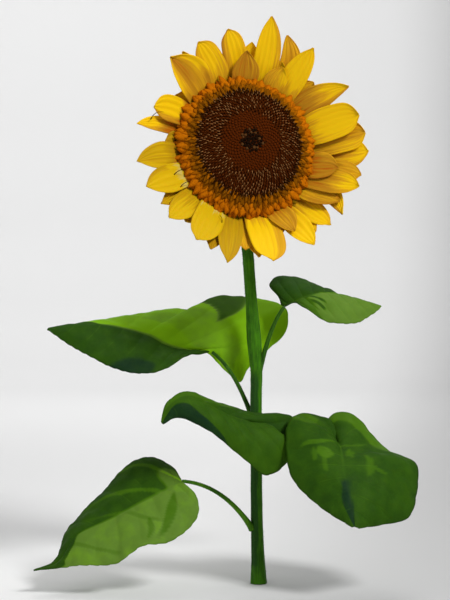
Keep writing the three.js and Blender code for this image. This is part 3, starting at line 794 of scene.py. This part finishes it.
petal_skins = [
    petal_material("petal, bright yellow", ("#aa5c02", "#b07a10", "#cc9610", "#e6b800", "#e8c840")),
    petal_material("petal, lemon, darkened as painted shade", ("#a85a02", "#a67e06", "#b28a00", "#c8a200", "#beaa56")),
]
# Values below 1 on many petals are painted shade where petals lie in shadow, and bright edges beside a dark
# middle are painted highlights.
yellow_petals = [
    petal(16, 132.5, 14.2, 1, bend=-10, blunt=2.8, tones=(1, 1, 0.5), root=(0.6, 0.3)),
    petal(35, 126, 12.5, 2, bend=-16, hook=-13, blunt=3.6, tones=(0.5, 0.4, 0.6), root=(0.4, 0.3)),
    petal(38, 122, 13.8, 0, bend=-4, blunt=2.8, tones=(0.7, 1, 1), root=(0.5, 0.35)),
    petal(53, 123.5, 13.5, 1, bend=19, blunt=2.2, tones=(1, 0.9, 0.4), root=(0.2, 0.6)),
    petal(74, 121, 18, 0, bend=6, blunt=5, tones=(0.8, 1, 0.75), root=(0.6, 0.35)),
    petal(85, 126, 16.5, 2, blunt=7, tones=(0.5, 0.45, 0.7), root=(0.4, 0.5)),
    petal(94, 129, 17.5, 3, blunt=5, tones=(1, 0.9, 0.6), root=(0.4, 0.75)),
    petal(107, 122, 14.5, 1, blunt=4, tones=(0.5, 0.6, 0.5), root=(0.3, 0.6)),
    petal(113, 122, 14.5, 0, bend=2, blunt=3.5, tones=(0.8, 1, 0.7), root=(0.2, 0.7)),
    petal(116, 122, 11.5, 2, bend=20, hook=8, tones=(1, 0.8, 0.3), root=(0.3, 0.5)),
    petal(135, 119, 13.5, 3, bend=3, blunt=3, tones=(0.6, 0.8, 0.8), root=(0.45, 0.5)),
    petal(152, 125, 14, 1, blunt=3, tones=(0.7, 1, 1), root=(0.4, 0.3)),
    petal(172, 129, 18.5, 0, bend=8, blunt=5, tones=(0.45, 0.8, 0.95), root=(0.6, 0.3)),
    petal(178, 122, 14, 2, bend=4, tones=(0.8, 0.7, 0.5), root=(0.4, 0.3)),
    petal(195, 136, 13.5, 1, bend=3, tones=(0.4, 0.5, 0.5), root=(0.3, 0.3)),
    petal(204, 126, 12, 2, tones=(0.3, 0.3, 0.3)),
    petal(212, 128, 16.5, 0, blunt=4, tones=(0.75, 0.9, 0.7), root=(1.2, 0.3)),
    petal(228, 127, 14, 1, blunt=3, tones=(0.9, 0.85, 0.6), root=(0.5, 0.5)),
    petal(235, 121, 12, 2, bend=1, blunt=1.9, tones=(0.5, 0.6, 0.4), root=(0.7, 0.5)),
    petal(247, 130, 14.5, 0, bend=-6, blunt=3, tones=(0.7, 0.85, 0.5), root=(1.3, 0.35)),
    petal(263, 127, 15, 1, bend=-13, blunt=2, tones=(0.7, 0.6, 0.6), root=(0.1, 0.3)),
    petal(286, 120, 8.5, 2, bend=-20, tones=(0.5, 1, 1), root=(0, 0.55)),
    petal(298, 106, 13.5, 0, bend=-19, blunt=5, tones=(0.3, 1, 0.9), root=(0.1, 0.3)),
    # Painted shade in this petal's cupped middle, and painted highlights on its rolled edges.
    petal(321, 118, 19.5, 0, bend=-14, cup=0.26, tones=(0.9, 0.15, 0.9), root=(0.3, 0.4)),
    petal(327, 116, 8.5, 2, bend=-6.5, tones=(0.8, 1, 0.8)),
    petal(341, 115, 14, 1, bend=-15.5, blunt=5, tones=(0.4, 1, 0.6), root=(0.5, 0.5)),
    petal(358, 120, 13.5, 2, bend=-14.5, blunt=6, tones=(0.2, 1, 0.6), root=(0.4, 0.4)),
    petal(5, 111, 14, 3),
    # The short petals of the front row are darkened to brown-gold as painted shade.
    petal(1, 98, 15, -1, blunt=1.8, tones=(0.25, 0.2, 0.3), root=(0.1, 0.3)),
    petal(27, 93, 12, -1, tones=(0.4, 0.6, 0.9), root=(0.4, 0.5)),
    petal(105, 98, 15, -1, tones=(0.4, 0.2, 0.2), root=(0.1, 0.4)),
    petal(157, 103, 13.5, -1, blunt=2, tones=(0.3, 0.25, 0.35), root=(0.1, 0.3)),
    petal(48, 103, 16, 1.6, tones=(0.5, 0.5, 0.5)), petal(163, 99, 17, 3, tones=(0.4, 0.4, 0.4)),
    petal(124, 112, 12, 1, tones=(0.25, 0.4, 0.2), root=(0.5, 0.4)),
    petal(221, 111, 17, 3, tones=(0.6, 0.6, 0.6)), petal(270, 90, 17, 1.6, tones=(0.3, 0.3, 0.3)),
    petal(305, 92, 16, 1.6, tones=(0.6, 0.6, 0.6)), petal(345, 98, 13, 3, tones=(0.4, 0.4, 0.4)),
]
# Short petals, each in a single yellow darkened as painted shade, fill the gaps at the back.
back_petals = [petal(*size, tones=(pigment_and_painted_light, pigment_and_painted_light, pigment_and_painted_light)) for *size, pigment_and_painted_light in (
    (291, 89, 15, 2.6, 0.3), (25, 101, 16, 2, 0.8), (63, 94, 16, 2, 0.5), (144, 114, 15, 3.4, 0.7),
    (186, 114, 16, 1.8, 0.5), (332, 100, 16, 3.4, 0.7), (100, 108, 16, 3.4, 0.4), (240, 106, 16, 3.4, 0.6),
    (254, 100, 16, 3.4, 0.5), (200, 108, 14, 3.4, 0.4))]
new_piece("yellow_petals", set_on_head(joined(yellow_petals + back_petals)), petal_skins,
          [f"petal_{i:02d}" for i in range(1, len(yellow_petals) + 1)])


# ---- Disc ------------
# The middle of the flower is a low dome, paved with hundreds of small florets in spirals: tight
# dark buds at the centre, then brown buds, then open florets with tan tips.

disc_radius, shoulder, crown = 0.056, 0.014, 0.012


def dome_height(r):
    return shoulder + crown * (1 - (r / disc_radius) ** 2)


def floret_skin(name, light, dark, rough):
    """Floret skin, grown: dry and matt, with a fine grain that keeps the disc from shining."""
    material, tree, shader = new_material(name, IOR=1.4, Specular_IOR_Level=0.04)
    place = add(tree, "TexCoord", out="Object")
    # The grain is 1.1 mm across, about half as wide as a floret.
    grain = add(tree, "TexNoise", {"Vector": place, "Scale": 900, "Detail": 2}, out="Fac")
    level = add(tree, "MapRange", {0: grain, 1: 0.3, 2: 0.7})
    colour = add(tree, "Mix", {0: level, 6: linear(dark), 7: linear(light)}, data_type="RGBA", out=2)
    bump = add(tree, "Bump", {"Height": grain, "Strength": 0.3, "Distance": 0.0003})
    surface = add(tree, "MapRange", {0: grain, 3: rough - 0.1, 4: rough + 0.1})
    connect(tree, shader, Base_Color=colour, Normal=bump, Roughness=surface)
    return material


cushion_profile = [(0, 0.0003), (disc_radius - 0.001, 0.0003), (disc_radius - 0.001, 0.007)] + [
    (r, dome_height(r) - 0.0013) for r in (0.055, 0.052, 0.046, 0.039, 0.031, 0.023, 0.015, 0.008, 0.003, 0)]
cushion_skin = floret_skin("disc between the florets, dark brown", "#481e04", "#3c1600", 0.9)
new_piece("disc_cushion", set_on_head(lathed(cushion_profile, 96)), [cushion_skin], ["disc"])


def bud(sides, profile):
    """A small closed shape turned about its own axis, from (radius, height) points."""
    return lathed([(0, 0)] + profile, sides)


spiral_step = 0.00172


def pave(bm, first, last, seed, size, sink, tint, splay=0.0):
    """Copies on the dome's golden spiral, from the first to the last, leaning out with the dome
    and sunk in it. Tint picks a copy's skins by its distance from the middle."""
    dice = random.Random(seed)
    places, chosen = [], []
    for i in range(first, last):
        r = spiral_step * math.sqrt(i + 0.5)
        turn = i * math.pi * (3 - math.sqrt(5))
        slope = math.atan(2 * crown * r / disc_radius ** 2) + splay * r / disc_radius
        r_now = r + dice.uniform(-0.1, 0.1) * spiral_step
        at = Vector((r_now * math.cos(turn), r_now * math.sin(turn), dome_height(r_now) - sink))
        lean = Matrix.Rotation(turn, 4, "Z") @ Matrix.Rotation(slope + dice.uniform(-0.12, 0.12), 4, "Y")
        grown = size * dice.uniform(0.85, 1.15)
        places.append(Matrix.Translation(at) @ lean @ Matrix.Diagonal((grown, grown, grown, 1)))
        chosen.append(tint(r, dice))
    return scattered(bm, places, chosen)


core_end, bud_end, floret_end = 50, 310, 1085
core_size, bud_size, floret_size = 0.00165, 0.00122, 0.00112
core_sink, bud_sink, floret_sink = 0.0019, 0.0017, 0.0019
core_skin = floret_skin("innermost buds, near black", "#1c0c02", "#100702", 0.8)
core_tip_skin = floret_skin("innermost bud tips, brown", "#5c3c1c", "#3c2410", 0.8)
bud_skin = floret_skin("closed buds, dark red-brown", "#562000", "#461a00", 0.85)
dark_skin = floret_skin("closed buds, darkest brown", "#2c1200", "#1e0c00", 0.85)
tube_skin = floret_skin("open florets, dark brown", "#4a1c00", "#341400", 0.85)
tip_skin = floret_skin("floret tips, tan", "#8a6038", "#6c4826", 0.85)
closed_tip_skin = floret_skin("floret tips not yet open, dark brown", "#562604", "#3a1802", 0.85)

closed_bud = bud(6, [(0.9, 0.1), (1.0, 0.7), (0.8, 1.1), (0, 1.3)])
core = pave(closed_bud, 0, core_end, 21, core_size, core_sink,
            lambda r, dice: int(r > 0.0075 and dice.random() < 0.35))
new_piece("core_buds", set_on_head(core), [core_skin, core_tip_skin])
closed_bud = bud(5, [(0.95, 0.1), (1.05, 0.9), (0.75, 1.35), (0, 1.6)])
buds = pave(closed_bud, core_end, bud_end, 22, bud_size, bud_sink,
            lambda r, dice: int(dice.random() < 1.6 - r / 0.0095))
new_piece("brown_buds", set_on_head(buds), [bud_skin, dark_skin])


def open_floret():
    """A dark tube with a tip that lies outwards on top, long and narrow."""
    bm = bud(5, [(0.85, 0.1), (0.95, 1.5), (0.8, 2.2), (0, 2.5)])
    tip = bmesh.new()
    bmesh.ops.create_cone(tip, cap_ends=True, segments=5, radius1=0.5, radius2=0.2, depth=2.6)
    for vert in tip.verts:
        h = vert.co.z / 2.6 + 0.5
        vert.co = (2.9 * h - 0.9, vert.co.y * 0.95, 2.5 + 0.5 * h - 0.3 * h * h + vert.co.x * 0.6)
    for face in tip.faces:
        face.material_index = 1
    bmesh.ops.recalc_face_normals(tip, faces=tip.faces)
    return joined([bm, tip])


# Just over half of the florets have opened their tan tips.
florets = pave(open_floret(), bud_end, floret_end, 23, floret_size, floret_sink,
               lambda r, dice: int(dice.random() < 0.45), splay=0.25)
new_piece("open_florets", set_on_head(florets), [tube_skin, tip_skin, tube_skin, closed_tip_skin])


# ---- Floret ring ------------
# Round the disc the slope is clothed in the outermost florets, brown above and orange below,
# whose pointed lobes lie out over the petals' roots.

ring_profile = [(0.055, 0.0003), (0.055, 0.0125), (0.0605, 0.0095), (0.0655, 0.0062), (0.0695, 0.0044),
                (0.0695, 0.0032), (0.064, 0.0003), (0.055, 0.0003)]
ring_skin = floret_skin("ring between the florets, rust", "#8a4e02", "#6a3a02", 0.85)
new_piece("ring_bed", set_on_head(lathed(ring_profile, 128)), [ring_skin], ["floret_ring"])


def lobe():
    """A pointed, keeled scale one unit long, lying along +X with its root at the origin."""
    bm = bmesh.new()
    bmesh.ops.create_grid(bm, x_segments=4, y_segments=2, size=0.5)
    for vert in bm.verts:
        t, u = vert.co.x + 0.5, vert.co.y * 2
        half = 0.3 * (0.75 + 0.8 * t) * (1 - t) ** 0.75 + 0.006
        vert.co = (t, u * half, 0.06 * (1 - abs(u)) + 0.05 * math.sin(math.pi * t) - 0.04)
    thickened(bm, 0.04)
    return bm


# Rows from the disc outwards: radius and height of the roots, length, slope down, how many, which
# skin, and how broad for their length.
lobe_rows = [
    (0.0530, 0.0150, 0.0065, 2, 80, 3, 0.9), (0.0550, 0.0140, 0.0075, 10, 88, 0, 1.1),
    (0.0575, 0.0124, 0.0080, 18, 88, 0, 1.2), (0.0595, 0.0110, 0.0085, 22, 84, 0, 1.2),
    (0.0620, 0.0096, 0.0090, 24, 78, 1, 1.2), (0.0645, 0.0076, 0.0100, 24, 72, 2, 1.3),
    (0.0650, 0.0068, 0.0135, 20, 46, 2, 1.3), (0.0660, 0.0050, 0.0130, 24, 50, 2, 1.3),
    (0.0672, 0.0026, 0.0115, 28, 64, 2, 1.2)]
dice = random.Random(31)
places, tints = [], []
for radius, height, length, down, count, tint, breadth in lobe_rows:
    for i in range(count):
        turn = math.tau * (i + dice.uniform(-0.4, 0.4)) / count
        long = length * dice.uniform(0.7, 1.25)
        r = radius + dice.uniform(-0.0008, 0.0008)
        at = Vector((r * math.cos(turn), r * math.sin(turn), height + dice.uniform(-0.0004, 0.0004)))
        tilt = math.radians(down + dice.uniform(-6, 6))
        skew = Matrix.Rotation(dice.uniform(-0.35, 0.35), 4, "Z")
        places.append(Matrix.Translation(at) @ Matrix.Rotation(turn, 4, "Z") @ Matrix.Rotation(tilt, 4, "Y")
                      @ skew @ Matrix.Diagonal((long, length * breadth, length, 1)))
        tints.append(tint if tint == 3 or dice.random() < 0.85 else min(2, tint + 1))


thread_thick, thread_thin = 0.0005, 0.0002


def thread(start, middle, end):
    def line(t):
        return (1 - t) ** 2 * Vector(start) + 2 * t * (1 - t) * Vector(middle) + t * t * Vector(end)
    return limb(line, lambda t, turn: mix(thread_thick, thread_thin, t), Vector((0, 0, 1)), 5, 12)


lobe_skins = [floret_skin("ring floret lobes, brown", "#7e4a00", "#6a3c00", 0.85),
              floret_skin("ring floret lobes, rust", "#a05c00", "#864a00", 0.85),
              floret_skin("ring floret lobes, orange", "#bc6a02", "#a45a02", 0.85),
              dark_skin]
new_piece("ring_lobes", set_on_head(scattered(lobe(), places, tints)), lobe_skins)
# A few dried stamen threads have dropped on the petals' roots.
thread_skin = floret_skin("dried stamen threads, dark brown", "#42260a", "#321a06", 0.9)
threads = joined([
    thread((-0.106, 0.020, 0.019), (-0.102, 0.029, 0.021), (-0.092, 0.0285, 0.019)),
    thread((-0.082, -0.034, 0.010), (-0.077, -0.029, 0.014), (-0.069, -0.0285, 0.010)),
    thread((-0.076, -0.047, 0.010), (-0.072, -0.042, 0.014), (-0.065, -0.0405, 0.009)),
    thread((-0.034, -0.084, 0.010), (-0.033, -0.079, 0.013), (-0.035, -0.074, 0.006)),
])
new_piece("dried_threads", set_on_head(threads), [thread_skin])


# ---- Stage, light and camera ------------
# A wide pale floor that rises all round into a wall, soft lamps from the upper right and the
# left, and a long lens level with the leaves.

floor_profile = [(0, 0), (3.4, 0), (3.8, 0.08), (4.15, 0.3), (4.4, 0.65), (4.5, 1.1), (4.5, 5.0)]
floor_gap = 0.0002
floor = lathed(floor_profile, 96)
bmesh.ops.translate(floor, verts=floor.verts, vec=(0, 0, -floor_gap))
# Backdrop paper, matt, which takes soft shadows and gives the eye nothing else to rest on.
paper, tree, shader = new_material("paper backdrop, pale grey", Roughness=0.9, Specular_IOR_Level=0.1)
# Painted shade: the paper is toned a soft grey towards its right-hand side, most at the front.
place = add(tree, "TexCoord", out="Object")
aside = add(tree, "VectorMath", {0: place, 1: (1, -0.21, 0)}, operation="DOT_PRODUCT", out="Value")
level = add(tree, "MapRange", {0: aside, 1: -0.3, 2: 0.3}, interpolation_type="SMOOTHSTEP")
grey = add(tree, "Mix", {0: level, 6: linear("#ebebeb"), 7: linear("#b8b8b8")}, data_type="RGBA", out=2)
connect(tree, shader, Base_Color=grey)
floor_piece = shown("floor", floor, [paper])


def lamp(name, place, aim, size, power):
    data = bpy.data.lights.new(name, "AREA")
    data.shape, data.size, data.energy = "DISK", size, power
    made = placed(name, data)
    made.location = place
    made.rotation_euler = (Vector(aim) - Vector(place)).to_track_quat("-Z", "Y").to_euler()


lamp("key", (1.3, -1.7, 1.9), (-0.03, 0, 0.35), 0.7, 60)
lamp("fill", (-2.0, -1.6, 0.9), (-0.03, 0, 0.3), 1.6, 6)
lamp("top", (0.3, 0.6, 2.6), (0, 0, 0.3), 1.4, 18)
lamp("backdrop", (-0.6, 2.0, 2.4), (0.1, 4.5, 1.1), 1.4, 34)

world = bpy.data.worlds.new("studio air")
world.use_nodes = True
world.node_tree.nodes["Background"].inputs["Color"].default_value = (1, 1, 1, 1)
world.node_tree.nodes["Background"].inputs["Strength"].default_value = 0.48
bpy.context.scene.world = world
bpy.context.scene.view_settings.view_transform = "Standard"

camera_data = bpy.data.cameras.new("camera")
camera_data.lens, camera_data.sensor_width = 85, 36
camera = placed("camera", camera_data)
camera.location = (-0.03696, -1.558, 0.3113)
camera.rotation_euler = (math.pi / 2, 0, 0)
bpy.context.scene.camera = camera
